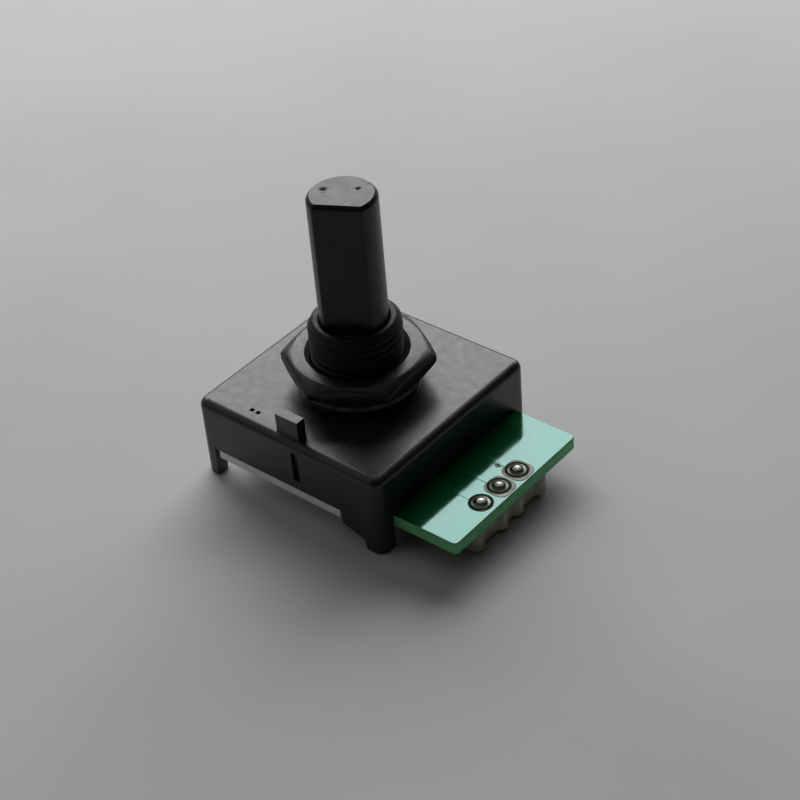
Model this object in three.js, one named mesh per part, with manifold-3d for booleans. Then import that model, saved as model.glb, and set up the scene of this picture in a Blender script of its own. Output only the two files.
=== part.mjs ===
// Panel-mount rotary encoder with a round-bodied D shaft, a threaded bushing and a board tongue with
// three terminals. Millimetres, +Z up along the shaft, origin on the shaft axis at the rear face
// of the back plate. +X points out of the side where the board leaves the housing.
import * as THREE from "three";
import { mergeVertices } from "three/addons/utils/BufferGeometryUtils.js";
import Module from "manifold-3d";

const wasm = await Module();
wasm.setup();

// Fineness
const ROUND_SIDES = 48;
const SMALL_SIDES = 16;
const EDGE_STEPS = 4;
const CURVE_STEPS = 6;
const SPRING_SIDES = 72;
const MERGE_DISTANCE = 1e-5;

// How far joined solids run into each other, and how far cutters run past what they cut.
const EPS = 0.01;
const BEYOND = 1;

// Housing
const BODY_SIZE = 20.5;
const BODY_TOP = 6.05;
const BODY_CORNER_R = 1.0;
const TOP_EDGE_R = 0.75;
const WALL = 1.2;
const CEILING = BODY_TOP - WALL;
const FEET_BOTTOM = -1.95;
const WALL_BOTTOM = 1.1;
const REAR_FOOT_WIDTH = 1.55;
const FRONT_LEG_TOP_WIDTH = 4.35;
const FRONT_LEG_FOOT_WIDTH = 1.75;
const FRONT_LEG_SHOULDER = -0.2;
const FRONT_LEG_HIP = [1.95, -0.9];
const FRONT_LEG_FOOT_HEIGHT = 0.2;
const LEG_ON_BOARD_SIDE = 1.75;
const BOARD_SLOT_CLEARANCE = 0.05;
const TAB_SIZE = [2.5, 1.0, 1.9];
const TAB_CENTRE = [0, -9.1];
const MARK_SIZE = [1.1, 0.4];
const MARK_CENTRE = [-4.65, -8.6];
const MARK_DEPTH = 0.3;
const GROOVE_WIDTH = 0.75;
const GROOVE_DEPTH = 0.4;
const GROOVE_X = 1.1;
const GROOVE_BOTTOM = 2.05;
const GROOVE_TOP = 5.1;
const BOSS_R = 5.3;
const BOSS_T = 0.6;
const BOARD_POST = 2.2;
const STAKE_R = 0.5;
const STAKE_HEAD_R = 0.9;
const STAKE_CLEARANCE = 0.1;
const STAKE_HOLE_OVERRUN = 0.2;
const STAKE_AT = 8.0;

// Bushing, nut and washer
const THREAD_R = 4.1;
const BUSHING_TOP = BODY_TOP + 6.8;
const BUSHING_BORE_R = 3.08;
const BUSHING_TIP_R = 3.55;
const BUSHING_TIP_CHAMFER = 0.55;
const BUSHING_FLANGE_R = 5.6;
const BUSHING_FLANGE_T = 0.8;
const PANEL_HOLE_CLEARANCE = 0.08;
const WASHER_R = 5.55;
const WASHER_BORE_R = 4.25;
const WASHER_T = 0.5;
const WASHER_BOTTOM = BODY_TOP + BOSS_T;
const NUT_BOTTOM = WASHER_BOTTOM + WASHER_T;
const NUT_T = 2.3;
const NUT_ACROSS_FLATS = 12;
const NUT_BORE_R = 4.18;
const NUT_BASE_R = 4.95;
const NUT_TOP_R = 5.65;
const NUT_COUNTERSINK_R = 4.6;
const NUT_CHAMFER_SLOPE = Math.tan(THREE.MathUtils.degToRad(30));
const NUT_CORNER_ANGLE = THREE.MathUtils.degToRad(31.9);

// Shaft
const SHAFT_R = 3.0;
const SHAFT_TOP = BODY_TOP + 19;
const SHAFT_CHAMFER = 0.35;
const SHAFT_FLAT_DISTANCE = 2.15;
const SHAFT_FLAT_BOTTOM = BUSHING_TOP - 0.9;
const SHAFT_FLAT_ANGLE = THREE.MathUtils.degToRad(-62.2);
const SHAFT_FLANGE_R = 4.4;
const SHAFT_FLANGE_BOTTOM = 3.25;
const SHAFT_FLANGE_TOP = 3.85;
const SHAFT_DRIVE_R = 2.0;
const SHAFT_DRIVE_FLAT = 1.5;
const SHAFT_DRIVE_BOTTOM = 1.7;
const SHAFT_PIVOT_R = 1.2;
const SHAFT_PIVOT_BOTTOM = 0.45;

// Inside
const THRUST_WASHER_R = 5.2;
const THRUST_WASHER_BORE_R = 3.2;
const ROTOR_R = 7.8;
const ROTOR_BOTTOM = 2.3;
const ROTOR_WEB_TOP = 2.95;
const ROTOR_CREST_TOP = 3.45;
const ROTOR_RIM_INNER_R = 5.4;
const ROTOR_HUB_R = 2.7;
const ROTOR_HUB_BOTTOM = 1.75;
const ROTOR_BORE_CLEARANCE = 0.05;
const DETENTS = 24;
const DETENT_DEPTH = 0.3;
const SPRING_INNER_R = 5.9;
const SPRING_OUTER_R = 7.4;
const SPRING_T = 0.18;
const SPRING_TOP = CEILING;
const SPRING_SAG = 0.85;
const SPRING_SAG_POWER = 4;
const SPRING_NUB = 0.32;
const SPRING_NUB_SPREAD = 0.006;
const WIPER_INNER_R = 2.8;
const WIPER_OUTER_R = 4.2;
const WIPER_T = 0.15;
const FINGER_WIDTH = 0.7;
const FINGER_BEND = 1.2;
const FINGER_REACH = 2.75;
const FINGER_TIP = 3.2;
const FINGER_TIP_LIFT = 0.2;
const WIPER_ARM = [[-3.0, -7.0], [-2.2, -2.8]];
const FINGER_TOUCH_GAP = 0.04;

// Board and terminals
const BOARD_WIDTH = 17.0;
const BOARD_BACK = -8.85;
const BOARD_FRONT = 16.8;
const BOARD_BOTTOM = 0.4;
const BOARD_TOP = 1.6;
const BOARD_CORNER_R = 0.45;
const PIVOT_HOLE_R = 1.35;
const TRACK_T = 0.05;
const TRACKS = {
  code_track_common: { inner: 3.0, outer: 4.0, teeth: false },
  code_track_a: { inner: 4.4, outer: 5.6, teeth: true },
  code_track_b: { inner: 6.0, outer: 7.2, teeth: true },
};
const TRACK_RIM = 0.35;
const PULSES = 24;
const TERMINAL_X = 15.3;
const TERMINAL_PITCH = 2.54;
const TERMINAL_MIDDLE = -0.6;
const TERMINALS = [-1, 0, 1].map((k) => TERMINAL_MIDDLE + k * TERMINAL_PITCH);
const PIN_SIDE = 0.6;
const PIN_TOP = 1.9;
const PIN_BOTTOM = -1.85;
const PIN_HOLE_R = 0.5;
const SOLDER_BORE_R = 0.46;
const SOLDER_R = 0.9;
const SOLDER_TIP_R = 0.58;
const SOLDER_EDGE_T = 0.04;
const SOLDER_T = 0.26;
const BASE_BOTTOM = -1.65;
const BASE_HALF_LENGTH = 5.1;
const BASE_BACK = 14.0;
const BASE_FACE = 16.3;
const BASE_LOBES = [-4.35, -1.1, 1.1, 4.35];
const BASE_LOBE_WIDTH = 1.5;
const BASE_LOBE_RISE = 0.45;

// Back plate
const PLATE_T = 0.4;
const PLATE_HALF = 8.9;
const PLATE_LIP_OUT = 10.15;
const PLATE_LIP_HEIGHT = 1.05;
const PLATE_BEND = 0.3;
const PLATE_LIP_X = [-8.3, 5.7];
const PLATE_LIP_ROOT = PLATE_HALF - 1;

function finish(color, roughness, metalness) {
  return new THREE.MeshStandardMaterial({ color, roughness, metalness });
}

const blackPlastic = () => finish(0x17181a, 0.42, 0);
const blackMetal = () => finish(0x121212, 0.35, 0.6);
const steel = () => finish(0xb4b6b6, 0.35, 1);
const bronze = () => finish(0xc08a50, 0.35, 1);
const gold = () => finish(0xd8b058, 0.3, 1);
const whitePlastic = () => finish(0xd8d4c4, 0.5, 0);
const greenBoard = () => finish(0x0b4a2a, 0.15, 0);
const solder = () => finish(0xb9bbb8, 0.3, 1);

// Turns a closed geometry into a solid that can be cut and joined.
function solidOf(geometry) {
  const bare = geometry.clone();
  bare.deleteAttribute("normal");
  bare.deleteAttribute("uv");
  const merged = mergeVertices(bare, MERGE_DISTANCE);
  return new wasm.Manifold(new wasm.Mesh({
    numProp: 3,
    vertProperties: new Float32Array(merged.attributes.position.array),
    triVerts: new Uint32Array(merged.index.array),
  }));
}

function geometryOf(solid) {
  const mesh = solid.getMesh();
  const geometry = new THREE.BufferGeometry();
  geometry.setAttribute("position", new THREE.BufferAttribute(mesh.vertProperties, 3));
  geometry.setIndex(new THREE.BufferAttribute(mesh.triVerts, 1));
  geometry.computeVertexNormals();
  return geometry;
}

// A box between two corners.
function block(low, high) {
  const size = high.map((value, i) => value - low[i]);
  const geometry = new THREE.BoxGeometry(...size);
  geometry.translate(...high.map((value, i) => (value + low[i]) / 2));
  return solidOf(geometry);
}

// A solid of revolution about Z from [radius, height] points that close on themselves or the axis.
function turned(points, sides = ROUND_SIDES) {
  const profile = points.map(([r, z]) => new THREE.Vector2(r, z));
  const geometry = new THREE.LatheGeometry(profile, sides);
  geometry.rotateX(Math.PI / 2);
  return solidOf(geometry);
}

function disc(r, low, high, sides = ROUND_SIDES) {
  return turned([[0, low], [r, low], [r, high], [0, high]], sides);
}

function ring(inner, outer, low, high, sides = ROUND_SIDES) {
  return turned([[inner, low], [outer, low], [outer, high], [inner, high], [inner, low]], sides);
}

// A flat shape pushed up from one height to another, with an optional rounded upper edge.
function raised(shape, low, high, edgeRadius = 0) {
  const geometry = new THREE.ExtrudeGeometry(shape, {
    depth: high - low - 2 * edgeRadius,
    bevelEnabled: edgeRadius > 0,
    bevelSize: edgeRadius,
    bevelOffset: -edgeRadius,
    bevelThickness: edgeRadius,
    bevelSegments: EDGE_STEPS,
    curveSegments: CURVE_STEPS,
  });
  geometry.translate(0, 0, low + edgeRadius);
  return solidOf(geometry);
}

function polygon(points) {
  return new THREE.Shape(points.map(([x, y]) => new THREE.Vector2(x, y)));
}

function roundedRectangle(left, bottom, right, top, radius) {
  const shape = new THREE.Shape();
  shape.moveTo(left + radius, bottom);
  shape.lineTo(right - radius, bottom);
  shape.absarc(right - radius, bottom + radius, radius, -Math.PI / 2, 0);
  shape.lineTo(right, top - radius);
  shape.absarc(right - radius, top - radius, radius, 0, Math.PI / 2);
  shape.lineTo(left + radius, top);
  shape.absarc(left + radius, top - radius, radius, Math.PI / 2, Math.PI);
  shape.lineTo(left, bottom + radius);
  shape.absarc(left + radius, bottom + radius, radius, Math.PI, 1.5 * Math.PI);
  return shape;
}

// The window under a side wall, between the narrow rear foot and the wide front leg.
function sideWindow() {
  const half = BODY_SIZE / 2;
  const below = FEET_BOTTOM - BEYOND;
  const outline = polygon([
    [-half + REAR_FOOT_WIDTH, below],
    [half - FRONT_LEG_FOOT_WIDTH, below],
    [half - FRONT_LEG_FOOT_WIDTH, FEET_BOTTOM + FRONT_LEG_FOOT_HEIGHT],
    [half - FRONT_LEG_HIP[0], FRONT_LEG_HIP[1]],
    [half - FRONT_LEG_TOP_WIDTH, FRONT_LEG_SHOULDER],
    [half - FRONT_LEG_TOP_WIDTH, WALL_BOTTOM],
    [-half + REAR_FOOT_WIDTH, WALL_BOTTOM],
  ]);
  const cut = raised(outline, -half - BEYOND, half + BEYOND);
  return cut.rotate([90, 0, 0]);
}

// A moulded stake through the board, melted out into a countersink at the plate's rear face.
// With a clearance and some overrun it is the cutter for that hole.
function stake(clearance, overrun, high) {
  const slope = (STAKE_HEAD_R - STAKE_R) / PLATE_T;
  return turned([
    [0, -overrun],
    [STAKE_HEAD_R + clearance + overrun * slope, -overrun],
    [STAKE_R + clearance, PLATE_T],
    [STAKE_R + clearance, high],
    [0, high],
  ], SMALL_SIDES);
}

function boardPosts() {
  const inner = BODY_SIZE / 2 - WALL + EPS;
  const from = inner - BOARD_POST;
  let posts = block([from, from, BOARD_TOP], [inner, inner, CEILING + EPS]);
  for (const [sx, sy] of [[1, -1], [-1, 1], [-1, -1]]) {
    const low = [Math.min(sx * from, sx * inner), Math.min(sy * from, sy * inner), BOARD_TOP];
    const high = [Math.max(sx * from, sx * inner), Math.max(sy * from, sy * inner), CEILING + EPS];
    posts = posts.add(block(low, high));
  }
  for (const side of [-1, 1]) {
    posts = posts.add(stake(0, 0, BOARD_TOP + EPS).translate([-STAKE_AT, side * STAKE_AT, 0]));
  }
  return posts;
}

function housing() {
  const half = BODY_SIZE / 2;
  const inner = half - WALL;
  const outline = roundedRectangle(-half, -half, half, half, BODY_CORNER_R);
  let shell = raised(outline, FEET_BOTTOM, BODY_TOP, TOP_EDGE_R);
  shell = shell.subtract(block([-inner, -inner, FEET_BOTTOM - BEYOND], [inner, inner, CEILING]));
  shell = shell.subtract(sideWindow());
  const boardSideLeg = half - LEG_ON_BOARD_SIDE;
  shell = shell.subtract(block(
    [0, -boardSideLeg, FEET_BOTTOM - BEYOND],
    [half + BEYOND, boardSideLeg, BOARD_TOP + BOARD_SLOT_CLEARANCE],
  ));
  const rearFoot = half - REAR_FOOT_WIDTH;
  shell = shell.subtract(block(
    [-half - BEYOND, -rearFoot, FEET_BOTTOM - BEYOND],
    [0, rearFoot, WALL_BOTTOM],
  ));
  shell = shell.add(boardPosts());
  const [tabX, tabY, tabZ] = TAB_SIZE;
  const [atX, atY] = TAB_CENTRE;
  shell = shell.add(block(
    [atX - tabX / 2, atY - tabY / 2, BODY_TOP - WALL / 2],
    [atX + tabX / 2, atY + tabY / 2, BODY_TOP + tabZ],
  ));
  shell = shell.subtract(block(
    [MARK_CENTRE[0] - MARK_SIZE[0] / 2, MARK_CENTRE[1] - MARK_SIZE[1] / 2, BODY_TOP - MARK_DEPTH],
    [MARK_CENTRE[0] + MARK_SIZE[0] / 2, MARK_CENTRE[1] + MARK_SIZE[1] / 2, BODY_TOP + EPS],
  ));
  shell = shell.subtract(block(
    [GROOVE_X - GROOVE_WIDTH / 2, -half - BEYOND, GROOVE_BOTTOM],
    [GROOVE_X + GROOVE_WIDTH / 2, -half + GROOVE_DEPTH, GROOVE_TOP],
  ));
  shell = shell.add(disc(BOSS_R, BODY_TOP - EPS, BODY_TOP + BOSS_T));
  return shell.subtract(disc(
    THREAD_R + PANEL_HOLE_CLEARANCE,
    CEILING - BEYOND,
    BODY_TOP + BOSS_T + BEYOND,
  ));
}

function bushing() {
  const flangeBottom = CEILING - BUSHING_FLANGE_T;
  return turned([
    [BUSHING_BORE_R, flangeBottom],
    [BUSHING_FLANGE_R, flangeBottom],
    [BUSHING_FLANGE_R, CEILING],
    [THREAD_R, CEILING],
    [THREAD_R, BUSHING_TOP - BUSHING_TIP_CHAMFER],
    [BUSHING_TIP_R, BUSHING_TOP],
    [BUSHING_BORE_R, BUSHING_TOP],
    [BUSHING_BORE_R, flangeBottom],
  ]);
}

function nut() {
  const flatR = NUT_ACROSS_FLATS / 2;
  const cornerR = flatR / Math.cos(Math.PI / 6);
  const nutTop = NUT_BOTTOM + NUT_T;
  const wide = cornerR + BEYOND;
  const corners = Array.from({ length: 6 }, (_, k) => NUT_CORNER_ANGLE + k * Math.PI / 3)
    .map((angle) => [cornerR * Math.cos(angle), cornerR * Math.sin(angle)]);
  const hexagon = raised(polygon(corners), NUT_BOTTOM, nutTop);
  const envelope = turned([
    [0, NUT_BOTTOM],
    [NUT_BASE_R, NUT_BOTTOM],
    [wide, NUT_BOTTOM + (wide - NUT_BASE_R) * NUT_CHAMFER_SLOPE],
    [wide, nutTop - (wide - NUT_TOP_R) * NUT_CHAMFER_SLOPE],
    [NUT_TOP_R, nutTop],
    [0, nutTop],
  ]);
  const countersink = turned([
    [0, nutTop - (NUT_COUNTERSINK_R - NUT_BORE_R)],
    [NUT_BORE_R, nutTop - (NUT_COUNTERSINK_R - NUT_BORE_R)],
    [NUT_COUNTERSINK_R + BEYOND, nutTop + BEYOND],
    [0, nutTop + BEYOND],
  ]);
  return hexagon.intersect(envelope)
    .subtract(disc(NUT_BORE_R, NUT_BOTTOM - BEYOND, nutTop + BEYOND))
    .subtract(countersink);
}

// The half space beyond a flat at a given distance from the axis, between two heights.
function flatCutter(distance, low, high, angle) {
  const wide = SHAFT_R + BEYOND;
  const cutter = block([distance, -wide, low], [distance + wide, wide, high]);
  return cutter.rotate([0, 0, THREE.MathUtils.radToDeg(angle)]);
}

function driveSection(radius, flat, low, high) {
  const round = disc(radius, low, high);
  return round
    .subtract(flatCutter(flat, low - BEYOND, high + BEYOND, 0))
    .subtract(flatCutter(flat, low - BEYOND, high + BEYOND, Math.PI));
}

function shaft() {
  const upper = turned([
    [0, SHAFT_FLANGE_BOTTOM],
    [SHAFT_FLANGE_R, SHAFT_FLANGE_BOTTOM],
    [SHAFT_FLANGE_R, SHAFT_FLANGE_TOP],
    [SHAFT_R, SHAFT_FLANGE_TOP],
    [SHAFT_R, SHAFT_TOP - SHAFT_CHAMFER],
    [SHAFT_R - SHAFT_CHAMFER, SHAFT_TOP],
    [0, SHAFT_TOP],
  ]);
  return upper
    .subtract(flatCutter(
      SHAFT_FLAT_DISTANCE,
      SHAFT_FLAT_BOTTOM,
      SHAFT_TOP + BEYOND,
      SHAFT_FLAT_ANGLE,
    ))
    .add(driveSection(SHAFT_DRIVE_R, SHAFT_DRIVE_FLAT, SHAFT_DRIVE_BOTTOM, SHAFT_FLANGE_BOTTOM + EPS))
    .add(disc(SHAFT_PIVOT_R, SHAFT_PIVOT_BOTTOM, SHAFT_DRIVE_BOTTOM + EPS, SMALL_SIDES));
}

function rotor() {
  let body = turned([
    [0, ROTOR_HUB_BOTTOM],
    [ROTOR_HUB_R, ROTOR_HUB_BOTTOM],
    [ROTOR_HUB_R, ROTOR_BOTTOM],
    [ROTOR_R, ROTOR_BOTTOM],
    [ROTOR_R, ROTOR_CREST_TOP],
    [ROTOR_RIM_INNER_R, ROTOR_CREST_TOP],
    [ROTOR_RIM_INNER_R, ROTOR_WEB_TOP],
    [0, ROTOR_WEB_TOP],
  ]);
  const notchWidth = Math.PI * (ROTOR_R + ROTOR_RIM_INNER_R) / DETENTS / 2;
  const notch = raised(polygon([
    [-notchWidth / 2, ROTOR_CREST_TOP + EPS],
    [0, ROTOR_CREST_TOP - DETENT_DEPTH],
    [notchWidth / 2, ROTOR_CREST_TOP + EPS],
  ]), ROTOR_RIM_INNER_R - BEYOND, ROTOR_R + BEYOND).rotate([90, 0, 0]);
  for (let k = 0; k < DETENTS; k += 1) {
    body = body.subtract(notch.rotate([0, 0, (360 * k) / DETENTS]));
  }
  const bore = driveSection(
    SHAFT_DRIVE_R + ROTOR_BORE_CLEARANCE,
    SHAFT_DRIVE_FLAT + ROTOR_BORE_CLEARANCE,
    0,
    ROTOR_CREST_TOP,
  );
  return body.subtract(bore);
}

// A flat spring ring that hangs down to a nub on each side of the shaft.
function detentSpring() {
  const low = SPRING_TOP - SPRING_T;
  const profile = [
    [SPRING_INNER_R, low],
    [(SPRING_INNER_R + SPRING_OUTER_R) / 2, low],
    [SPRING_OUTER_R, low],
    [SPRING_OUTER_R, SPRING_TOP],
    [(SPRING_INNER_R + SPRING_OUTER_R) / 2, SPRING_TOP],
    [SPRING_INNER_R, SPRING_TOP],
    [SPRING_INNER_R, low],
  ].map(([r, z]) => new THREE.Vector2(r, z));
  const geometry = new THREE.LatheGeometry(profile, SPRING_SIDES);
  geometry.rotateX(Math.PI / 2);
  const position = geometry.attributes.position;
  for (let i = 0; i < position.count; i += 1) {
    const x = position.getX(i);
    const y = position.getY(i);
    const across = Math.abs(y) / Math.hypot(x, y);
    const nub = SPRING_NUB * Math.exp(-((1 - across) / SPRING_NUB_SPREAD));
    position.setZ(i, position.getZ(i) - SPRING_SAG * across ** SPRING_SAG_POWER - nub);
  }
  return solidOf(geometry);
}

// One bent finger across its radius, which touches its track at FINGER_REACH from its root.
function finger(radius) {
  const top = ROTOR_BOTTOM - WIPER_T;
  const touch = BOARD_TOP + TRACK_T + FINGER_TOUCH_GAP;
  const strip = polygon([
    [0, top],
    [0, top + WIPER_T],
    [FINGER_BEND, top + WIPER_T],
    [FINGER_REACH, touch + WIPER_T],
    [FINGER_TIP, touch + WIPER_T + FINGER_TIP_LIFT],
    [FINGER_TIP, touch + FINGER_TIP_LIFT],
    [FINGER_REACH, touch],
    [FINGER_BEND, top],
  ]);
  const half = FINGER_WIDTH / 2;
  return raised(strip, -half, half).rotate([90, 0, 0]).translate([-FINGER_REACH, -radius, 0]);
}

function wiper() {
  let contact = ring(WIPER_INNER_R, WIPER_OUTER_R, ROTOR_BOTTOM - WIPER_T, ROTOR_BOTTOM);
  const [low, high] = WIPER_ARM;
  const arm = block([...low, ROTOR_BOTTOM - WIPER_T], [...high, ROTOR_BOTTOM]);
  contact = contact.add(arm);
  for (const { inner, outer } of Object.values(TRACKS)) {
    contact = contact.add(finger((inner + outer) / 2));
  }
  return contact;
}

function codeTrack({ inner, outer, teeth }) {
  const low = BOARD_TOP;
  const high = BOARD_TOP + TRACK_T;
  if (!teeth) {
    return ring(inner, outer, low, high);
  }
  let track = ring(inner, inner + TRACK_RIM, low, high);
  const root = inner + TRACK_RIM / 2;
  const step = (2 * Math.PI) / PULSES;
  for (let k = 0; k < PULSES; k += 1) {
    const from = k * step;
    const to = from + step / 2;
    const tooth = polygon([
      [root * Math.cos(from), root * Math.sin(from)],
      [outer * Math.cos(from), outer * Math.sin(from)],
      [outer * Math.cos(to), outer * Math.sin(to)],
      [root * Math.cos(to), root * Math.sin(to)],
    ]);
    track = track.add(raised(tooth, low, high));
  }
  return track;
}

function board() {
  const half = BOARD_WIDTH / 2;
  const outline = roundedRectangle(BOARD_BACK, -half, BOARD_FRONT, half, BOARD_CORNER_R);
  let plate = raised(outline, BOARD_BOTTOM, BOARD_TOP);
  const low = BOARD_BOTTOM - BEYOND;
  const high = BOARD_TOP + BEYOND;
  plate = plate.subtract(disc(PIVOT_HOLE_R, low, high, SMALL_SIDES));
  for (const y of TERMINALS) {
    const pinHole = disc(PIN_HOLE_R, low, high, SMALL_SIDES);
    plate = plate.subtract(pinHole.translate([TERMINAL_X, y, 0]));
  }
  const stakeHole = stake(STAKE_CLEARANCE, STAKE_HOLE_OVERRUN, high);
  for (const side of [-1, 1]) {
    plate = plate.subtract(stakeHole.translate([-STAKE_AT, side * STAKE_AT, 0]));
  }
  return plate;
}

// The plate's side lip in cross-section across Y, with its bend cut as a chamfer.
function plateLip() {
  const section = polygon([
    [PLATE_LIP_ROOT, 0],
    [PLATE_LIP_OUT - PLATE_BEND, 0],
    [PLATE_LIP_OUT, PLATE_BEND],
    [PLATE_LIP_OUT, PLATE_LIP_HEIGHT],
    [PLATE_LIP_OUT - PLATE_T, PLATE_LIP_HEIGHT],
    [PLATE_LIP_OUT - PLATE_T, PLATE_T],
    [PLATE_LIP_ROOT, PLATE_T],
  ]);
  return raised(section, ...PLATE_LIP_X).rotate([90, 0, 90]);
}

function backPlate() {
  let plate = block([-PLATE_HALF, -PLATE_HALF, 0], [PLATE_HALF, PLATE_HALF, PLATE_T]);
  plate = plate.add(plateLip()).add(plateLip().mirror([0, 1, 0]));
  const hole = stake(STAKE_CLEARANCE, STAKE_HOLE_OVERRUN, PLATE_T + BEYOND);
  for (const side of [-1, 1]) {
    plate = plate.subtract(hole.translate([-STAKE_AT, side * STAKE_AT, 0]));
  }
  return plate;
}

// The block under the terminals, with two ribs in the middle of its outer face and one at each end.
function terminalBase() {
  const top = BOARD_BOTTOM;
  let base = block(
    [BASE_BACK, TERMINAL_MIDDLE - BASE_HALF_LENGTH, BASE_BOTTOM],
    [BASE_FACE, TERMINAL_MIDDLE + BASE_HALF_LENGTH, top],
  );
  for (const offset of BASE_LOBES) {
    const low = TERMINAL_MIDDLE + offset - BASE_LOBE_WIDTH / 2;
    const high = TERMINAL_MIDDLE + offset + BASE_LOBE_WIDTH / 2;
    base = base.add(raised(polygon([
      [BASE_FACE - EPS, low],
      [BASE_FACE, low],
      [BASE_FACE + BASE_LOBE_RISE, low + BASE_LOBE_RISE],
      [BASE_FACE + BASE_LOBE_RISE, high - BASE_LOBE_RISE],
      [BASE_FACE, high],
      [BASE_FACE - EPS, high],
    ]), BASE_BOTTOM, top));
  }
  const pinHole = disc(PIN_HOLE_R, BASE_BOTTOM - BEYOND, top + BEYOND, SMALL_SIDES);
  for (const y of TERMINALS) {
    base = base.subtract(pinHole.translate([TERMINAL_X, y, 0]));
  }
  return base;
}

function solderJoint() {
  return turned([
    [SOLDER_BORE_R, BOARD_TOP],
    [SOLDER_R, BOARD_TOP],
    [SOLDER_R, BOARD_TOP + SOLDER_EDGE_T],
    [SOLDER_TIP_R, BOARD_TOP + SOLDER_T],
    [SOLDER_BORE_R, BOARD_TOP + SOLDER_T],
    [SOLDER_BORE_R, BOARD_TOP],
  ], SMALL_SIDES);
}

function terminalPin() {
  const half = PIN_SIDE / 2;
  return block([-half, -half, PIN_BOTTOM], [half, half, PIN_TOP]);
}

const encoder = new THREE.Group();
encoder.name = "rotary_encoder";

function place(name, solid, material) {
  const mesh = new THREE.Mesh(geometryOf(solid), material);
  mesh.name = name;
  encoder.add(mesh);
  return mesh;
}

place("housing_shell", housing(), blackPlastic());
place("threaded_bushing", bushing(), blackPlastic());
place("flat_washer", ring(WASHER_BORE_R, WASHER_R, WASHER_BOTTOM, NUT_BOTTOM), blackMetal());
place("hex_nut", nut(), blackMetal());
place("shaft", shaft(), blackPlastic());
place("thrust_washer", ring(
  THRUST_WASHER_BORE_R,
  THRUST_WASHER_R,
  SHAFT_FLANGE_TOP,
  CEILING - BUSHING_FLANGE_T,
), whitePlastic());
place("detent_rotor", rotor(), whitePlastic());
place("detent_spring", detentSpring(), steel());
place("contact_wiper", wiper(), bronze());
for (const [name, track] of Object.entries(TRACKS)) {
  place(name, codeTrack(track), gold());
}
place("pcb", board(), greenBoard());
place("back_plate", backPlate(), steel());
place("terminal_base", terminalBase(), whitePlastic());
TERMINALS.forEach((y, i) => {
  const joint = place(`solder_joint_${i + 1}`, solderJoint(), solder());
  joint.position.set(TERMINAL_X, y, 0);
  const pin = place(`terminal_pin_${i + 1}`, terminalPin(), solder());
  pin.position.set(TERMINAL_X, y, 0);
});

export default encoder;
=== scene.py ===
"""Panel-mount rotary encoder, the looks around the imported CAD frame.

Shapes are worked out in millimetres, in the frame's own axes (+Z up along the shaft, +X out over
the board tongue), and scaled to metres when a mesh is made.
"""
import math

import bmesh
import bpy
from mathutils import Matrix, Vector


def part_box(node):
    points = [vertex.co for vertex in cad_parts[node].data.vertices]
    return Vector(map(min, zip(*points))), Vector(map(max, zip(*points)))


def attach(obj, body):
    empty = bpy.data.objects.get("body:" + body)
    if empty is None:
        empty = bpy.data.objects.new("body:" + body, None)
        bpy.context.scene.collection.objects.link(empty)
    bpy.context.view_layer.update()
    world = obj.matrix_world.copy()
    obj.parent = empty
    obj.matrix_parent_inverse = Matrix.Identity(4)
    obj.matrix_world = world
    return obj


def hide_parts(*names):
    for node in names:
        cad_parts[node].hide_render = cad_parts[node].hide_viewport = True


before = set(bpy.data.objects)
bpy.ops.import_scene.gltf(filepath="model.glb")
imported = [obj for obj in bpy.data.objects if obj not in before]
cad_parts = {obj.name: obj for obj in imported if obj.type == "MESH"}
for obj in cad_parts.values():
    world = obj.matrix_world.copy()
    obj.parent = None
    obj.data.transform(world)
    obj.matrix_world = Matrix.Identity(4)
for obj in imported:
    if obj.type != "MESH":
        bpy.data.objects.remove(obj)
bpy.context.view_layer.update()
MM = 0.001
BEYOND = 1.0  # how far a cutter reaches past what it cuts
BURIED = 0.02  # how far a raised part goes into the face that it stands on

# Camera and light
CAMERA_TARGET = (2.42, 2.19, 3.34)
CAMERA_DISTANCE = 168.9
CAMERA_AZIMUTH = 42.12
CAMERA_ELEVATION = 37.95
CAMERA_ROLL = -5.01
CAMERA_LENS = 86.28
SENSOR_WIDTH = 36.0
NEAR_CLIP = 0.001
WINDOW_AZIMUTH = -1.0
WINDOW_ELEVATION = 33.0
WINDOW_DISTANCE = 420.0
WINDOW_SIZE = (560.0, 220.0)
WINDOW_POWER = 2.16
WINDOW_COLOR = (0.96, 0.985, 1.0)
FILL_AZIMUTH = -58.0
FILL_ELEVATION = 36.0
FILL_DISTANCE = 500.0
FILL_SIZE = (620.0, 420.0)
FILL_POWER = 0.26
FILL_COLOR = (1.0, 0.99, 0.97)
CEILING_ELEVATION = 90.0
CEILING_DISTANCE = 500.0
CEILING_SIZE = (420.0, 420.0)
CEILING_POWER = 0.12
CEILING_COLOR = (1.0, 0.98, 0.95)
WORLD_COLOR = (0.008, 0.008, 0.0085, 1)
FLOOR_SIZE = 900.0
FLOOR_DARK = (0.59, 0.582, 0.573)
FLOOR_LIGHT = (0.625, 0.617, 0.607)

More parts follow.
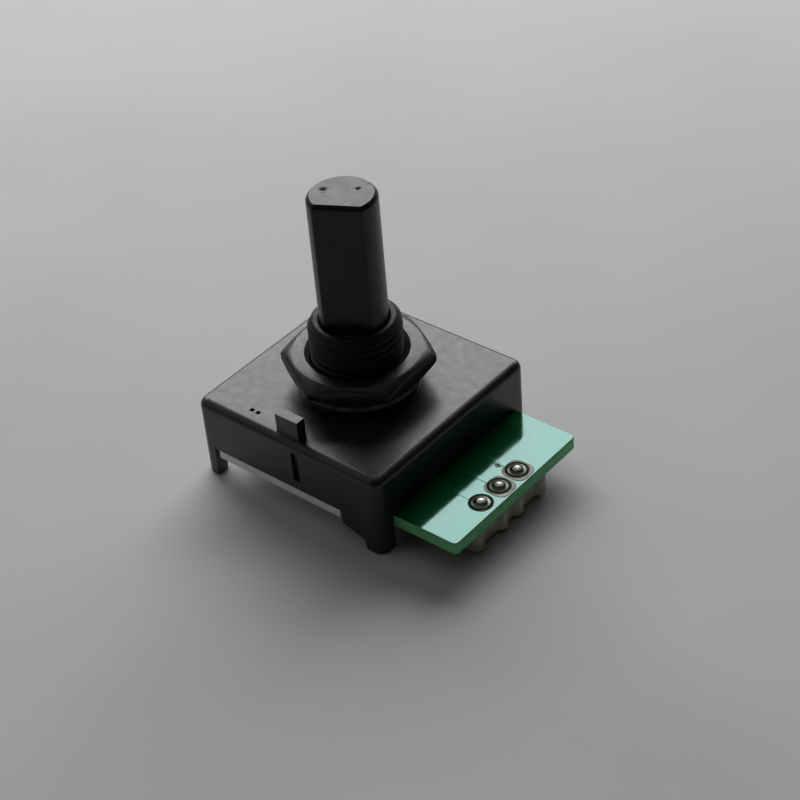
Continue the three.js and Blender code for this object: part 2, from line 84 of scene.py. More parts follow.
# Housing
BODY_CORNER_R = 1.0
TOP_EDGE_R = 0.75
TOP_EDGE_STEPS = 6
FOOT_EDGE_R = 0.15
WALL = 1.2
WALL_BOTTOM = 1.1
REAR_FOOT_WIDTH = 1.55
LEG_TOP_WIDTH = 4.35
LEG_HIP = (1.95, -0.9)
LEG_SHOULDER = -0.2
LEG_FOOT_WIDTH = 1.75
LEG_FOOT_HEIGHT = 0.2
LEG_ON_BOARD_SIDE = 1.75
BOARD_GAP_ABOVE = 0.05
TAB_SIZE = (2.5, 1.0)
TAB_CENTRE = (0.0, -9.1)
TAB_ROOT = 0.5
GROOVE_X = 1.1
GROOVE_WIDTH = 0.75
GROOVE_Z = (2.05, 5.1)
GROOVE_DEPTHS = (0.45, 0.2)
MARK_X = (-4.98, -4.3)
MARK_Y = -8.6
MARK_SIZE = (0.42, 0.4)
MARK_DEPTH = 0.25
POST = 2.2
POST_OVERLAP = 0.01
STAKE_AT = 8.0
STAKE_R = 0.5
STAKE_HEAD_R = 0.9
BOSS_R = 5.3
BOSS_T = 0.6
BOSS_ROOT = 0.1
BUSHING_HOLE_CLEARANCE = 0.08
FINE_EDGE = 0.07

# Bushing and nut
PITCH = 0.75
ROWS_PER_TURN = 14
THREAD_SIDES = 144
THREAD_R = 4.1
CREST = 0.14
FLANK = 0.66
THREAD_DEPTH = 0.24
BUSHING_BORE_R = 3.08
BUSHING_TIP_R = 3.55
BUSHING_TIP_CHAMFER = 0.55
BUSHING_EDGE = 0.1
BUSHING_FINE_EDGE = 0.05
NUT_ACROSS_FLATS = 12.0
NUT_CORNER_ANGLE = math.radians(31.9)
NUT_BORE_R = 4.18
NUT_COUNTERSINK_R = 4.6
NUT_BASE_R = 4.95
NUT_TOP_R = 5.65
NUT_CHAMFER_SLOPE = math.tan(math.radians(30))
NUT_CORNER_SHARPNESS = 48
NUT_SIDES = 360
NUT_EDGE = 0.07
NUT_EDGE_PROFILE = ((1.0, -NUT_CHAMFER_SLOPE), (0.2, 0.35), (0.0, 1.2))  # inwards and along Z
NUT_BORE_CHAMFER = 0.2
NUT_BASE_EDGE = 0.04
NUT_TOP_EDGE = 0.05
COUNTERSINK_EDGE = (0.03, 0.04)
WASHER_BORE_R = 4.25
WASHER_EDGE = 0.14
WASHER_CORNER = 0.3
WASHER_SIDES = 128

# Shaft
SHAFT_R = 3.0
SHAFT_CHAMFER = 0.32
CHAMFER_STEPS = 4
CHAMFER_EDGE = 0.05
FLAT_DISTANCE = 2.15
FLAT_ANGLE = math.radians(-62.2)
FLAT_CORNER = math.acos(FLAT_DISTANCE / SHAFT_R)
FLAT_CORNER_STEPS = (-0.03, -0.015, 0.0, 0.015, 0.03)
FLAT_CORNER_SHARPNESS = 90
FLAT_BELOW_BUSHING = 0.9
RUNOUT_STEPS = 6
RUNOUT_RISE = 0.32
RUNOUT_EDGE = 0.06
RUNOUT_LENGTH = 0.6
CLEAR_OF_SECTION = 1.2
SHAFT_SIDES = 120
END_FACE_STEPS = 26
DIMPLES = ((-1.6, -0.45, 0.55, 0.13), (0.72, 1.24, 0.38, 0.12))
GATE_MARK = (1.05, 2.3, 0.35, 0.03)
SHAFT_FLANGE_R = 4.4
SHAFT_FLANGE_Z = (3.25, 3.85)
SHAFT_FLANGE_EDGE = 0.05
SHAFT_DRIVE_R = 2.0
SHAFT_DRIVE_FLAT = 1.5
SHAFT_DRIVE_BOTTOM = 1.7
SHAFT_PIVOT_R = 1.2
PIVOT_CHAMFER = 0.15
PIVOT_SIDES = 48

# Board and terminals
BOARD_CORNER_R = 0.45
MASK_T = 0.06
MASK_EDGE_STEPS = 3
REAR_MASK_SET_BACK = 0.02
PIN_HOLE_R = 0.5
PIVOT_HOLE_R = 1.35
STAKE_HOLE_R = 0.6
PAD_WIDTHS = (2.0, 2.42, 2.42)
PAD_INNER = (0.98, 1.15, 1.15)
PAD_OUTER = (1.02, 1.35, 1.35)
PAD_T = 0.04
PAD_EDGE = 0.03
PAD_ROUNDNESS = 0.7
TRACE_WIDTH = 0.55
TRACE_T = 0.03
TRACE_EDGE = 0.02
TRACE_COVERED = 2.0
VIA_AT = (13.6, 1.6)
VIA_R = 0.32
VIA_HOLE_R = VIA_R * 0.5
VIA_LIP_R = VIA_R * 0.55
VIA_ROOT = 0.1
VIA_SIDE_T = 0.02
VIA_T = 0.035
VIA_LIP_T = 0.03
VIA_EDGE = 0.04
JOINT_SIDES = 48
JOINT_BORE_R = 0.3
JOINT_NECK_R = 0.38
JOINT_ROOT = 0.1
JOINT_FOOT_T = 0.035
JOINT_SLOPE_Z = 0.045
JOINT_CROWN = 0.05
JOINT_LIP = 0.01
JOINT_HOLLOW = 2.4
JOINT_STEPS = 8
JOINT_WAVE = 0.02
JOINT_TURN = 1.3
# The dark ring round each joint is painted shade, standing in for the solder fillet's dark
# reflection.
SHADE_RING_SPREAD = 0.2
SHADE_RING_COVERED = 0.1
SHADE_RING_BURIED = 0.01
SHADE_RING_T = 0.03
SHADE_RING_EDGE = 0.05
SHADE_RING_EDGE_T = 0.012
PIN_CORNER_R = 0.06
PIN_CORNER_STEPS = 3
PIN_TIP_EDGE = 0.1
PIN_FOOT_EDGE = 0.16
BASE_LOBES = (-4.35, -1.1, 1.1, 4.35)
BASE_LOBE_WIDTH = 1.5
BASE_LOBE_RISE = 0.45
BASE_EDGE = 0.12
BASE_EDGE_STEPS = 3
BASE_EDGE_ANGLE = 25.0
BASE_HOLE_R = 0.42
BASE_HOLE_SIDES = 24

# Back plate
PLATE_CORNER_R = 0.4
PLATE_BEND = 0.32
LEAST_BEND = 0.08
OUTER_BEND_STEPS = 6
INNER_BEND_STEPS = 4
PLATE_EDGE = 0.04
LIP_ENDS = (-8.3, 5.7)
LIP_ROOT = 1.0
STAKE_FLARE = 0.3
STAKE_FLARE_BELOW = 0.2
STAKE_GAP = 0.1

# Smoothing: the steepest angle between two faces, in degrees, that still looks round
EDGE_ANGLE = 38.0
ROUND_SMOOTHING = 50.0
SMALL_SMOOTHING = 60.0
NUT_SMOOTHING = 24.0
SHAFT_SMOOTHING = 32.0
HOLE_SIDES = 32


def span(node):
    """A CAD node's lowest and highest corners in millimetres."""
    low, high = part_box(node)
    return Vector(low) / MM, Vector(high) / MM


HOUSING_LOW, HOUSING_HIGH = span("housing_shell")
HALF = HOUSING_HIGH.x
INNER = HALF - WALL
FEET = HOUSING_LOW.z
BOSS_TOP = span("flat_washer")[0].z
BODY_TOP = BOSS_TOP - BOSS_T
CEILING = BODY_TOP - WALL
BOARD_LOW, BOARD_HIGH = span("pcb")
BOARD_TOP = BOARD_HIGH.z
PLATE_T = BOARD_LOW.z


# ---------------------------------------------------------------- mesh tools

def make_object(name, verts, faces):
    mesh = bpy.data.meshes.new(name)
    mesh.from_pydata([Vector(v) * MM for v in verts], [], faces)
    work = bmesh.new()
    work.from_mesh(mesh)
    bmesh.ops.remove_doubles(work, verts=work.verts, dist=1e-8)
    bmesh.ops.recalc_face_normals(work, faces=work.faces)
    work.to_mesh(mesh)
    work.free()
    obj = bpy.data.objects.new(name, mesh)
    bpy.context.scene.collection.objects.link(obj)
    return obj


def apply_modifiers(obj):
    depsgraph = bpy.context.evaluated_depsgraph_get()
    mesh = bpy.data.meshes.new_from_object(obj.evaluated_get(depsgraph))
    obj.modifiers.clear()
    obj.data = mesh
    return obj


def combine(obj, other, operation):
    modifier = obj.modifiers.new("boolean", "BOOLEAN")
    modifier.object = other
    modifier.operation = operation
    modifier.solver = "EXACT"
    apply_modifiers(obj)
    bpy.data.objects.remove(other)
    return obj


def cut(obj, other):
    return combine(obj, other, "DIFFERENCE")


def join(obj, other):
    return combine(obj, other, "UNION")


def round_edges(obj, width, segments=2, angle=EDGE_ANGLE):
    modifier = obj.modifiers.new("bevel", "BEVEL")
    modifier.width = width * MM
    modifier.segments = segments
    modifier.limit_method = "ANGLE"
    modifier.angle_limit = math.radians(angle)
    modifier.use_clamp_overlap = False
    modifier.loop_slide = False
    return apply_modifiers(obj)


def smooth(obj, angle=EDGE_ANGLE):
    """Smooth shading that keeps the large flat faces flat."""
    obj.data.shade_smooth()
    obj.data.set_sharp_from_angle(angle=math.radians(angle))
    modifier = obj.modifiers.new("normals", "WEIGHTED_NORMAL")
    modifier.weight = 90
    modifier.keep_sharp = True
    return apply_modifiers(obj)


def loft(name, rings, closed=False):
    """A closed mesh through rings of equal length: capped at both ends, or joined end to end."""
    count = len(rings[0])
    verts = [point for ring in rings for point in ring]
    faces = []
    for i in range(len(rings) if closed else len(rings) - 1):
        a, b = i * count, (i + 1) % len(rings) * count
        for k in range(count):
            m = (k + 1) % count
            faces.append((a + k, a + m, b + m, b + k))
    if not closed:
        faces.append(tuple(range(count)))
        faces.append(tuple(range(len(verts) - count, len(verts))))
    return make_object(name, verts, faces)


def circle(radius, z, sides=96, centre=(0, 0)):
    angles = [2 * math.pi * k / sides for k in range(sides)]
    return [(centre[0] + radius * math.cos(a), centre[1] + radius * math.sin(a), z) for a in angles]


def turned(name, profile, closed=False, sides=96, centre=(0, 0)):
    """A solid of revolution about Z from (radius, height) points."""
    return loft(name, [circle(r, z, sides, centre) for r, z in profile], closed)


def box(name, low, high):
    (x0, y0, z0), (x1, y1, z1) = low, high
    rings = [[(x0, y0, z), (x1, y0, z), (x1, y1, z), (x0, y1, z)] for z in (z0, z1)]
    return loft(name, rings)


def arc(cx, cy, radius, start, end, steps):
    angles = [math.radians(start + (end - start) * k / steps) for k in range(steps + 1)]
    return [(cx + radius * math.cos(a), cy + radius * math.sin(a)) for a in angles]


def rounded_rectangle(x0, y0, x1, y1, radius, steps=8):
    corners = ((x1, y0, -90), (x1, y1, 0), (x0, y1, 90), (x0, y0, 180))
    outline = []
    for x, y, start in corners:
        cx = x - radius if x == x1 else x + radius
        cy = y - radius if y == y1 else y + radius
        outline += arc(cx, cy, radius, start, start + 90, steps)
    return outline


def inset(outline, distance):
    """The outline moved inwards along its corners' bisectors. It runs anticlockwise."""
    moved = []
    for i, (x, y) in enumerate(outline):
        before, after = Vector(outline[i - 1]), Vector(outline[(i + 1) % len(outline)])
        here = Vector((x, y))
        one, two = (here - before).normalized(), (after - here).normalized()
        normal = Vector((-one.y - two.y, one.x + two.x))
        normal *= 2 / normal.length_squared
        moved.append((x + normal.x * distance, y + normal.y * distance))
    return moved


def slab(name, outline, z0, z1, top_edge=0.0, bottom_edge=0.0, steps=4):
    """An extruded outline with quarter-round edges."""
    rings = []
    quarter = [math.pi / 2 * k / steps for k in range(steps + 1)]
    if bottom_edge:
        for a in quarter[:-1]:
            ring = inset(outline, bottom_edge * (1 - math.sin(a)))
            rings.append([(x, y, z0 + bottom_edge * (1 - math.cos(a))) for x, y in ring])
    rings.append([(x, y, z0 + bottom_edge) for x, y in outline])
    rings.append([(x, y, z1 - top_edge) for x, y in outline])
    if top_edge:
        for a in quarter[1:]:
            ring = inset(outline, top_edge * (1 - math.cos(a)))
            rings.append([(x, y, z1 - top_edge * (1 - math.sin(a))) for x, y in ring])
    return loft(name, rings)


def prism_across(name, outline, low, high, axis):
    """Pushes an outline along Y (outline in X, Z) or along X (outline in Y, Z)."""
    if axis == "Y":
        rings = [[(u, at, w) for u, w in outline] for at in (low, high)]
    else:
        rings = [[(at, u, w) for u, w in outline] for at in (low, high)]
    return loft(name, rings)


# ---------------------------------------------------------------- materials

def new_material(name, **sockets):
    material = bpy.data.materials.new(name)
    material.use_nodes = True
    shader = material.node_tree.nodes["Principled BSDF"]
    for socket, value in sockets.items():
        shader.inputs[socket.replace("_", " ")].default_value = value
    return material, material.node_tree, shader


def millimetres(tree, stretch=(1, 1, 1)):
    """The piece's own coordinates in millimetres, stretched for grain that runs one way."""
    place = tree.nodes.new("ShaderNodeTexCoord")
    scale = tree.nodes.new("ShaderNodeMapping")
    scale.inputs["Scale"].default_value = [s / MM for s in stretch]
    tree.links.new(place.outputs["Object"], scale.inputs["Vector"])
    return scale.outputs["Vector"]


def noise(tree, vector, per_mm, detail=3.0, distortion=0.0):
    node = tree.nodes.new("ShaderNodeTexNoise")
    node.inputs["Scale"].default_value = per_mm
    node.inputs["Detail"].default_value = detail
    node.inputs["Distortion"].default_value = distortion
    tree.links.new(vector, node.inputs["Vector"])
    return node.outputs["Fac"]


def ramp(tree, value, stops):
    node = tree.nodes.new("ShaderNodeValToRGB")
    band = node.color_ramp
    for position, color in stops[2:]:
        band.elements.new(position)
    for element, (position, color) in zip(band.elements, stops):
        element.position = position
        element.color = (*color, 1)
    tree.links.new(value, node.inputs["Fac"])
    return node.outputs["Color"]


def remap(tree, value, low, high, start=0.3, end=0.7):
    node = tree.nodes.new("ShaderNodeMapRange")
    node.inputs["From Min"].default_value = start
    node.inputs["From Max"].default_value = end
    node.inputs["To Min"].default_value = low
    node.inputs["To Max"].default_value = high
    tree.links.new(value, node.inputs["Value"])
    return node.outputs["Result"]


def bump(tree, shader, height, depth_mm, strength=1.0):
    node = tree.nodes.new("ShaderNodeBump")
    node.inputs["Strength"].default_value = strength
    node.inputs["Distance"].default_value = depth_mm * MM
    tree.links.new(height, node.inputs["Height"])
    tree.links.new(node.outputs["Normal"], shader.inputs["Normal"])


def moulded_plastic(name, dark, light, rough, texture_mm=0.003, grain=5.0, gloss=0.30):
    """Moulded plastic: cloudy colour, patchy gloss and a fine spark-eroded texture."""
    material, tree, shader = new_material(name, Specular_IOR_Level=gloss)
    vector = millimetres(tree)
    cloud = noise(tree, vector, 0.35, 4.0, 0.4)
    tree.links.new(ramp(tree, cloud, [(0.35, dark), (0.68, light)]), shader.inputs["Base Color"])
    patches = noise(tree, vector, 1.3, 5.0)
    tree.links.new(remap(tree, patches, *rough), shader.inputs["Roughness"])
    bump(tree, shader, noise(tree, vector, grain, 2.0), texture_mm)
    return material


def worked_metal(name, dark, light, rough, stretch=(1, 1, 1), grain=6.0, depth_mm=0.003,
                 metallic=1.0):
    """Metal with a tone that wanders and fine marks that run along one axis."""
    material, tree, shader = new_material(name, Metallic=metallic)
    cloud = noise(tree, millimetres(tree), 0.6, 4.0, 0.6)
    tree.links.new(ramp(tree, cloud, [(0.3, dark), (0.7, light)]), shader.inputs["Base Color"])
    marks = noise(tree, millimetres(tree, stretch), grain, 3.0)
    tree.links.new(remap(tree, marks, *rough), shader.inputs["Roughness"])
    bump(tree, shader, marks, depth_mm)
    return material


def blackened_metal(name, dark, light, rubbed, rough):
    """Black oxide over turned metal, with faint rings of tool marks and lighter rubbed spots."""
    material, tree, shader = new_material(name, Specular_IOR_Level=0.36)
    vector = millimetres(tree)
    cloud = noise(tree, vector, 0.8, 5.0, 0.5)
    stops = [(0.3, dark), (0.6, light), (0.8, rubbed)]
    tree.links.new(ramp(tree, cloud, stops), shader.inputs["Base Color"])
    patches = noise(tree, vector, 2.5, 4.0)
    tree.links.new(remap(tree, patches, *rough), shader.inputs["Roughness"])
    rings = tree.nodes.new("ShaderNodeTexWave")
    rings.wave_type = "RINGS"
    rings.rings_direction = "Z"
    rings.inputs["Scale"].default_value = 2.2
    rings.inputs["Distortion"].default_value = 0.5
    tree.links.new(vector, rings.inputs["Vector"])
    bump(tree, shader, rings.outputs["Fac"], 0.002, 0.6)
    return material


def solder_mask(name, dark, light, rough):
    """Glossy green mask over laminate: a weave that barely shows, and small ripples in the gloss."""
    material, tree, shader = new_material(
        name, Specular_Tint=(0.56, 1.0, 0.90, 1), Specular_IOR_Level=1.0)
    vector = millimetres(tree)
    weave = tree.nodes.new("ShaderNodeTexWave")
    weave.bands_direction = "DIAGONAL"
    weave.inputs["Scale"].default_value = 1.1
    weave.inputs["Distortion"].default_value = 2.5
    tree.links.new(vector, weave.inputs["Vector"])
    cloud = noise(tree, vector, 0.45, 4.0)
    mixed = tree.nodes.new("ShaderNodeMath")
    mixed.operation = "MULTIPLY"
    tree.links.new(cloud, mixed.inputs[0])
    tree.links.new(remap(tree, weave.outputs["Fac"], 0.95, 1.05, 0, 1), mixed.inputs[1])
    stops = [(0.3, dark), (0.7, light)]
    tree.links.new(ramp(tree, mixed.outputs["Value"], stops), shader.inputs["Base Color"])
    patches = noise(tree, vector, 1.0, 3.0)
    tree.links.new(remap(tree, patches, *rough), shader.inputs["Roughness"])
    bump(tree, shader, noise(tree, vector, 0.7, 3.0), 0.002, 0.5)
    return material


def laminate(name):
    """The cut edge of a glass laminate: fine layers across its thickness."""
    material, tree, shader = new_material(name, Specular_IOR_Level=0.35)
    layers = noise(tree, millimetres(tree, (0.3, 0.3, 7)), 1.6, 3.0, 0.2)
    stops = [(0.3, (0.12, 0.48, 0.18)), (0.7, (0.24, 0.70, 0.32))]
    tree.links.new(ramp(tree, layers, stops), shader.inputs["Base Color"])
    patches = noise(tree, millimetres(tree), 3.0, 3.0)
    tree.links.new(remap(tree, patches, 0.5, 0.7), shader.inputs["Roughness"])
    bump(tree, shader, layers, 0.01)
    return material


HOUSING_PLASTIC = moulded_plastic(
    "housing_plastic", (0.013, 0.0135, 0.014), (0.020, 0.0205, 0.021), (0.30, 0.40), gloss=0.5)
BUSHING_PLASTIC = moulded_plastic(
    "bushing_plastic", (0.006, 0.006, 0.0065), (0.011, 0.011, 0.011), (0.42, 0.55), gloss=0.2)
SHAFT_PLASTIC = moulded_plastic(
    "shaft_plastic", (0.010, 0.010, 0.0105), (0.017, 0.017, 0.0175), (0.30, 0.40), 0.005)
NATURAL_PLASTIC = moulded_plastic(
    "natural_plastic", (0.62, 0.59, 0.50), (0.76, 0.73, 0.65), (0.38, 0.52), 0.004)
PIN_STRIP_PLASTIC = moulded_plastic(
    "pin_strip_plastic", (0.34, 0.34, 0.26), (0.50, 0.49, 0.39), (0.40, 0.55), 0.006)
BLACKENED = blackened_metal(
    "blackened_metal", (0.008, 0.008, 0.0075), (0.014, 0.0135, 0.0125), (0.030, 0.028, 0.025),
    (0.27, 0.38))
WORN_BLACK = blackened_metal(
    "worn_black", (0.10, 0.10, 0.096), (0.20, 0.20, 0.19), (0.32, 0.31, 0.30), (0.35, 0.5))
PLATE_STEEL = worked_metal(
    "plate_steel", (0.80, 0.80, 0.78), (0.90, 0.90, 0.88), (0.7, 0.85), (0.15, 2, 2), metallic=0.4)
SPRING_STEEL = worked_metal(
    "spring_steel", (0.45, 0.45, 0.45), (0.62, 0.62, 0.61), (0.2, 0.34), (0.3, 2, 1))
BRONZE = worked_metal(
    "phosphor_bronze", (0.60, 0.36, 0.18), (0.74, 0.48, 0.27), (0.2, 0.35), (0.3, 2, 1))
GOLD = worked_metal(
    "gold_plate", (0.78, 0.55, 0.22), (0.90, 0.68, 0.32), (0.2, 0.3))
# The solder's colour is painted near-black and slightly green: a painted reflection of the black
# housing and green board.
PAINTED_DARK_SOLDER = worked_metal(
    "solder", (0.055, 0.065, 0.050), (0.17, 0.18, 0.15), (0.26, 0.4), (1, 1, 1), 1.5, 0.004)
# A dark ring round each joint: painted shade for the solder fillet's dark reflection, not a real
# residue.
PAINTED_SHADE_RING = moulded_plastic(
    "painted_shade_ring", (0.010, 0.020, 0.010), (0.028, 0.042, 0.024), (0.55, 0.7), 0.01, 3.0, gloss=0.08)
DULL_TIN = worked_metal(
    "dull_tin", (0.40, 0.395, 0.36), (0.60, 0.585, 0.53), (0.75, 0.9), (1, 1, 1), 2.2, 0.02)
TINNED = worked_metal(
    "tinned_pin", (0.55, 0.54, 0.50), (0.74, 0.73, 0.69), (0.2, 0.36), (1, 1, 0.2))
MASK = solder_mask("green_board", (0.003, 0.085, 0.027), (0.006, 0.120, 0.040), (0.06, 0.12))
MASK_OVER_COPPER = solder_mask(
    "mask_over_copper", (0.007, 0.115, 0.036), (0.012, 0.150, 0.052), (0.07, 0.13))
LAMINATE = laminate("laminate")


def add_piece(obj, material, slot, body, *nodes):
    """Gives a finished mesh its material, its body and the CAD nodes it stands for."""
    obj.data.materials.clear()
    obj.data.materials.append(material)
    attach(obj, body)
    if nodes:
        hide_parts(*nodes)
    return obj


# ---------------------------------------------------------------- housing

def side_window():
    """The opening between the legs, with the shoulder and the slope beside the front leg."""
    left = -HALF + REAR_FOOT_WIDTH
    outline = [
        (left, FEET - BEYOND),
        (HALF - LEG_FOOT_WIDTH, FEET - BEYOND),
        (HALF - LEG_FOOT_WIDTH, FEET + LEG_FOOT_HEIGHT),
        (HALF - LEG_HIP[0], LEG_HIP[1]),
        (HALF - LEG_TOP_WIDTH, LEG_SHOULDER),
        (HALF - LEG_TOP_WIDTH, WALL_BOTTOM),
        (left, WALL_BOTTOM),
    ]
    return prism_across("window", outline, -HALF - BEYOND, HALF + BEYOND, "Y")


def hollow_out(shell):
    """Cuts the cavity and the openings between the legs, one of them for the board."""
    cut(shell, box("cavity", (-INNER, -INNER, FEET - BEYOND), (INNER, INNER, CEILING)))
    cut(shell, side_window())
    leg = HALF - LEG_ON_BOARD_SIDE
    over_board = BOARD_TOP + BOARD_GAP_ABOVE
    cut(shell, box("board_gap", (0, -leg, FEET - BEYOND), (HALF + BEYOND, leg, over_board)))
    foot = HALF - REAR_FOOT_WIDTH
    cut(shell, box("rear_gap", (-HALF - BEYOND, -foot, FEET - BEYOND), (0, foot, WALL_BOTTOM)))


def stake(x, y):
    profile = [(STAKE_HEAD_R, 0), (STAKE_R, PLATE_T), (STAKE_R, BOARD_TOP + BURIED)]
    return turned("stake", profile, sides=HOLE_SIDES, centre=(x, y))


def add_posts_and_stakes(shell):
    """The corner posts that press on the board, and the stakes that rivet the plate to it."""
    reach = (INNER - POST, INNER + POST_OVERLAP)
    for side_x in (-1, 1):
        for side_y in (-1, 1):
            x = sorted(side_x * r for r in reach)
            y = sorted(side_y * r for r in reach)
            low, high = (x[0], y[0], BOARD_TOP), (x[1], y[1], CEILING + POST_OVERLAP)
            join(shell, box("post", low, high))
    for side_y in (-1, 1):
        join(shell, stake(-STAKE_AT, side_y * STAKE_AT))


def add_boss_and_tab(shell):
    join(shell, turned("boss", [(BOSS_R, BODY_TOP - BOSS_ROOT), (BOSS_R, BOSS_TOP)]))
    hole_r = THREAD_R + BUSHING_HOLE_CLEARANCE
    cut(shell, turned("hole", [(hole_r, CEILING - BEYOND), (hole_r, BOSS_TOP + BEYOND)]))
    half_x, half_y = TAB_SIZE[0] / 2, TAB_SIZE[1] / 2
    low = (TAB_CENTRE[0] - half_x, TAB_CENTRE[1] - half_y, BODY_TOP - TAB_ROOT)
    high = (TAB_CENTRE[0] + half_x, TAB_CENTRE[1] + half_y, HOUSING_HIGH.z)
    join(shell, box("tab", low, high))


def cut_groove_and_marks(shell):
    bottom, top = GROOVE_DEPTHS
    wedge = [
        (-HALF - BEYOND, GROOVE_Z[0]),
        (-HALF + bottom, GROOVE_Z[0]),
        (-HALF + top, GROOVE_Z[1]),
        (-HALF - BEYOND, GROOVE_Z[1]),
    ]
    half_width = GROOVE_WIDTH / 2
    cut(shell, prism_across("groove", wedge, GROOVE_X - half_width, GROOVE_X + half_width, "X"))
    half_x, half_y = MARK_SIZE[0] / 2, MARK_SIZE[1] / 2
    for x in MARK_X:
        low = (x - half_x, MARK_Y - half_y, BODY_TOP - MARK_DEPTH)
        high = (x + half_x, MARK_Y + half_y, BODY_TOP + BEYOND)
        cut(shell, box("mark", low, high))


def build_housing():
    outline = rounded_rectangle(-HALF, -HALF, HALF, HALF, BODY_CORNER_R)
    shell = slab("housing", outline, FEET, BODY_TOP, TOP_EDGE_R, FOOT_EDGE_R, TOP_EDGE_STEPS)
    hollow_out(shell)
    add_posts_and_stakes(shell)
    add_boss_and_tab(shell)
    round_edges(shell, FINE_EDGE)
    cut_groove_and_marks(shell)
    shell.name = "housing"
    add_piece(smooth(shell), HOUSING_PLASTIC, "housing_plastic", "base", "housing_shell")


# ---------------------------------------------------------------- bushing, washer and nut

def thread_radius(angle, z, top):
    """The bushing's outer radius: a right-hand thread that runs out in the end chamfer."""
    turn = (z / PITCH - angle / (2 * math.pi)) % 1
    from_crest = abs(turn - 0.5) * 2
    depth = min(max((from_crest - CREST) / FLANK, 0), 1)
    threaded = THREAD_R - THREAD_DEPTH * depth * depth * (3 - 2 * depth)
    chamfer = BUSHING_TIP_R + (top - z) * (THREAD_R - BUSHING_TIP_R) / BUSHING_TIP_CHAMFER
    return min(threaded, chamfer)


def thread_ring(z, top):
    ring = []
    for k in range(THREAD_SIDES):
        angle = 2 * math.pi * k / THREAD_SIDES
        radius = thread_radius(angle, z, top)
        ring.append((radius * math.cos(angle), radius * math.sin(angle), z))
    return ring


def build_bushing():
    low, high = span("threaded_bushing")
    flange_r = high.x
    edge, fine = BUSHING_EDGE, BUSHING_FINE_EDGE
    flange = [
        (BUSHING_BORE_R, low.z + edge),
        (BUSHING_BORE_R + edge, low.z),
        (flange_r - edge, low.z),
        (flange_r, low.z + edge),
        (flange_r, CEILING - fine),
        (flange_r - fine, CEILING),
        (THREAD_R, CEILING),
    ]
    mouth = [(BUSHING_BORE_R + fine, high.z), (BUSHING_BORE_R, high.z - fine)]
    start = BOSS_TOP + edge
    rows = round((high.z - start) / PITCH * ROWS_PER_TURN)
    rings = [circle(r, z, THREAD_SIDES) for r, z in flange]
    for i in range(rows + 1):
        rings.append(thread_ring(start + (high.z - start) * i / rows, high.z))
    rings += [circle(r, z, THREAD_SIDES) for r, z in mouth]
    bushing = smooth(loft("bushing", rings, closed=True), ROUND_SMOOTHING)
    add_piece(bushing, BUSHING_PLASTIC, "bushing_plastic", "base", "threaded_bushing")


def build_washer():
    low, high = span("flat_washer")
    bore, outer = WASHER_BORE_R, high.x
    edge, corner = WASHER_EDGE, WASHER_EDGE * WASHER_CORNER
    profile = [
        (bore, low.z + edge),
        (bore + edge, low.z),
        (outer - edge, low.z),
        (outer - corner, low.z + corner),
        (outer, low.z + edge),
        (outer, high.z - edge),
        (outer - corner, high.z - corner),
        (outer - edge, high.z),
        (bore + edge, high.z),
        (bore, high.z - edge),
    ]
    washer = smooth(turned("washer", profile, closed=True, sides=WASHER_SIDES), ROUND_SMOOTHING)
    add_piece(washer, WORN_BLACK, "blackened_metal", "base", "flat_washer")


def hexagon_radius(angle):
    """How far the nut's side is from the axis at an angle, with the corners just broken."""
    total = 0
    for k in range(6):
        from_flat = angle - NUT_CORNER_ANGLE - math.pi / 6 - k * math.pi / 3
        total += max(math.cos(from_flat), 0) ** NUT_CORNER_SHARPNESS
    return NUT_ACROSS_FLATS / 2 / total ** (1 / NUT_CORNER_SHARPNESS)


def nut_angles():
    return [NUT_CORNER_ANGLE + 2 * math.pi * k / NUT_SIDES for k in range(NUT_SIDES)]


def nut_circle(radius, z):
    return [(radius * math.cos(a), radius * math.sin(a), z) for a in nut_angles()]


def hexagon_ring(cone, inwards, along):
    """A ring on the nut's sides, at a chamfer cone's height there and moved off it."""
    ring = []
    for a in nut_angles():
        side = hexagon_radius(a)
        radius = side - inwards
        ring.append((radius * math.cos(a), radius * math.sin(a), cone(side) + along))
    return ring


def build_nut():
    low, high = span("hex_nut")

    def lower_cone(radius):
        return low.z + (radius - NUT_BASE_R) * NUT_CHAMFER_SLOPE

    def upper_cone(radius):
        return high.z - (radius - NUT_TOP_R) * NUT_CHAMFER_SLOPE

    base_edge, top_edge = NUT_BASE_R + NUT_BASE_EDGE, NUT_TOP_R + NUT_TOP_EDGE
    rings = [
        nut_circle(NUT_BORE_R, low.z + NUT_BORE_CHAMFER),
        nut_circle(NUT_BORE_R + NUT_BORE_CHAMFER, low.z),
        nut_circle(NUT_BASE_R - NUT_BASE_EDGE, low.z),
        nut_circle(base_edge, lower_cone(base_edge)),
    ]
    for inwards, along in NUT_EDGE_PROFILE:
        rings.append(hexagon_ring(lower_cone, inwards * NUT_EDGE, along * NUT_EDGE))
    for inwards, along in reversed(NUT_EDGE_PROFILE):
        rings.append(hexagon_ring(upper_cone, inwards * NUT_EDGE, -along * NUT_EDGE))
    rings += [
        nut_circle(top_edge, upper_cone(top_edge)),
        nut_circle(NUT_TOP_R - NUT_TOP_EDGE, high.z),
        nut_circle(NUT_COUNTERSINK_R + COUNTERSINK_EDGE[0], high.z),
        nut_circle(NUT_COUNTERSINK_R - COUNTERSINK_EDGE[0], high.z - COUNTERSINK_EDGE[1]),
        nut_circle(NUT_BORE_R, high.z - (NUT_COUNTERSINK_R - NUT_BORE_R)),
    ]
    nut = smooth(loft("nut", rings, closed=True), NUT_SMOOTHING)
    add_piece(nut, BLACKENED, "blackened_metal", "base", "hex_nut")


# ---------------------------------------------------------------- shaft

